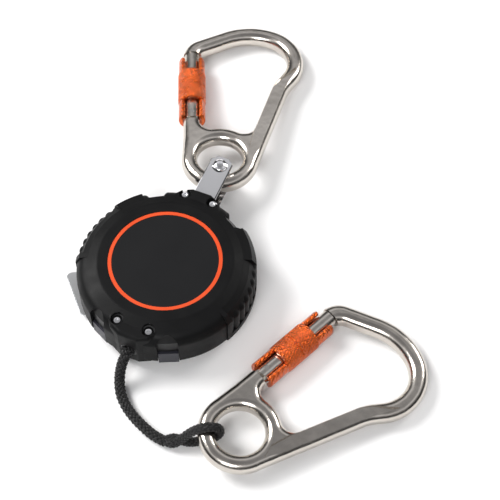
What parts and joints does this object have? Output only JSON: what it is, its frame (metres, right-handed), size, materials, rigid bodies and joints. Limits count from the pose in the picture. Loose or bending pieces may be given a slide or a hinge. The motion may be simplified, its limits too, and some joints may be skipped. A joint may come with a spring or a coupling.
{
  "type": "retractable tool lanyard",
  "caption": "Round retractable tool lanyard with a forked anchor strap, a swivelling belt clip, a spring-loaded cord reel and captive-eye carabiners with twist-lock gates.",
  "frame": {"origin": "on the resting plane, under the axis of the round case", "axes": "+Z out of the label face, +Y towards the anchor strap, +X to the right of the label"},
  "size_m": [0.1945, 0.2589, 0.0314],
  "materials": {
    "rubber_black": "soft satin",
    "shell_grey": "fine grain",
    "shell_black": "fine grain",
    "label_charcoal": "satin",
    "label_orange": "satin",
    "chrome": "polished",
    "forged_steel": "satin polished",
    "steel": "turned",
    "spring_steel": "drawn",
    "sleeve_orange": "anodised satin",
    "brass": "turned",
    "reel_plastic": "moulded",
    "bush_plastic": "smooth",
    "acetal": "moulded",
    "cord_black": "tight braid",
    "clip_steel": "satin"
  },
  "bodies": {
    "case": {"front_jacket": "rubber_black", "rear_jacket": "rubber_black", "front_shell": "shell_black", "rear_shell": "shell_grey", "label_disc": "label_charcoal", "label_ring": "label_orange", "case_screws": "chrome", "screw_inserts": "brass", "reel_axle": "steel", "mainspring": "spring_steel", "spring_cover": "reel_plastic", "cord_outlet": "bush_plastic", "anchor_strap": "chrome", "clip_rivet": "steel", "clip_washer": "acetal", "lanyard_cord": "cord_black", "cord_splice": "cord_black", "cord_loop": "cord_black"},
    "reel": {"cord_reel": "reel_plastic", "reel_flange": "reel_plastic", "wound_cord": "cord_black", "reel_bushes": "acetal"},
    "clip": {"belt_clip": "clip_steel"},
    "anchor": {"anchor_pin": "chrome"},
    "upper_carabiner": {"upper_frame": "forged_steel", "upper_hinge_pin": "steel"},
    "upper_gate_bar": {"upper_gate": "forged_steel", "upper_gate_spring": "spring_steel", "upper_guide_pin": "steel", "upper_sleeve_spring": "spring_steel"},
    "upper_lock": {"upper_sleeve": "sleeve_orange"},
    "upper_push_rod": {"upper_plunger": "steel"},
    "lower_carabiner": {"lower_frame": "forged_steel", "lower_hinge_pin": "steel"},
    "lower_gate_bar": {"lower_gate": "forged_steel", "lower_gate_spring": "spring_steel", "lower_guide_pin": "steel", "lower_sleeve_spring": "spring_steel"},
    "lower_lock": {"lower_sleeve": "sleeve_orange"},
    "lower_push_rod": {"lower_plunger": "steel"}
  },
  "joints": [
    {"name": "reel_spin", "type": "hinge", "parent": "case", "child": "reel", "pos_m": [0, 0, 0.0152], "axis": [0, 0, 1], "range_deg": [0, 2400], "stiffness_Nm_per_rad": 0.00036, "springref_deg": -2400.69, "deforming": ["mainspring"]},
    {"name": "clip_swivel", "type": "hinge", "parent": "case", "child": "clip", "pos_m": [0, 0.0194, 0.005], "axis": [0, 0, 1], "continuous": true},
    {"name": "upper_swing", "type": "hinge", "parent": "case", "child": "anchor", "pos_m": [0, 0.0682, 0.0152], "axis": [0, 0, 1], "range_deg": [-50, 60]},
    {"name": "upper_tilt", "type": "hinge", "parent": "anchor", "child": "upper_carabiner", "pos_m": [0.00262, 0.0623, 0.0149], "axis": [0.9971, 0.0767, 0], "range_deg": [-4, 18]},
    {"name": "upper_gate_swing", "type": "hinge", "parent": "upper_carabiner", "child": "upper_gate_bar", "pos_m": [-0.03055, 0.10033, 0.01135], "axis": [0.0068, -0.089, -0.996], "range_deg": [0, 24], "stiffness_Nm_per_rad": 0.06, "springref_deg": -20.05},
    {"name": "upper_sleeve_twist", "type": "hinge", "parent": "upper_gate_bar", "child": "upper_lock", "pos_m": [-0.03055, 0.10033, 0.01135], "axis": [-0.4088, 0.9087, -0.084], "range_deg": [0, 90]},
    {"name": "upper_plunger_slide", "type": "slide", "parent": "upper_gate_bar", "child": "upper_push_rod", "axis": [-0.4088, 0.9087, -0.084], "range_m": [0, 0.0014], "deforming": ["upper_gate_spring"]},
    {"name": "lower_turn", "type": "hinge", "parent": "case", "child": "lower_carabiner", "pos_m": [0.0661, -0.0622, 0.00875], "axis": [0.0467, 0.0087, 0.9989], "range_deg": [-70, 14]},
    {"name": "lower_gate_swing", "type": "hinge", "parent": "lower_carabiner", "child": "lower_gate_bar", "pos_m": [0.06548, -0.02692, 0.00847], "axis": [-0.0467, -0.0087, -0.9989], "range_deg": [0, 24], "stiffness_Nm_per_rad": 0.06, "springref_deg": -20.05},
    {"name": "lower_sleeve_twist", "type": "hinge", "parent": "lower_gate_bar", "child": "lower_lock", "pos_m": [0.06548, -0.02692, 0.00847], "axis": [0.401, 0.9157, -0.0267], "range_deg": [0, 90]},
    {"name": "lower_plunger_slide", "type": "slide", "parent": "lower_gate_bar", "child": "lower_push_rod", "axis": [0.401, 0.9157, -0.0267], "range_m": [0, 0.0014], "deforming": ["lower_gate_spring"]}
  ],
  "couplings": [
    {"joint": "upper_sleeve_twist", "follows": "upper_gate_swing", "ratio": 3.75},
    {"joint": "upper_plunger_slide", "follows": "upper_gate_swing", "m_per_rad": 0.003},
    {"joint": "lower_sleeve_twist", "follows": "lower_gate_swing", "ratio": 3.75},
    {"joint": "lower_plunger_slide", "follows": "lower_gate_swing", "m_per_rad": 0.003}
  ]
}
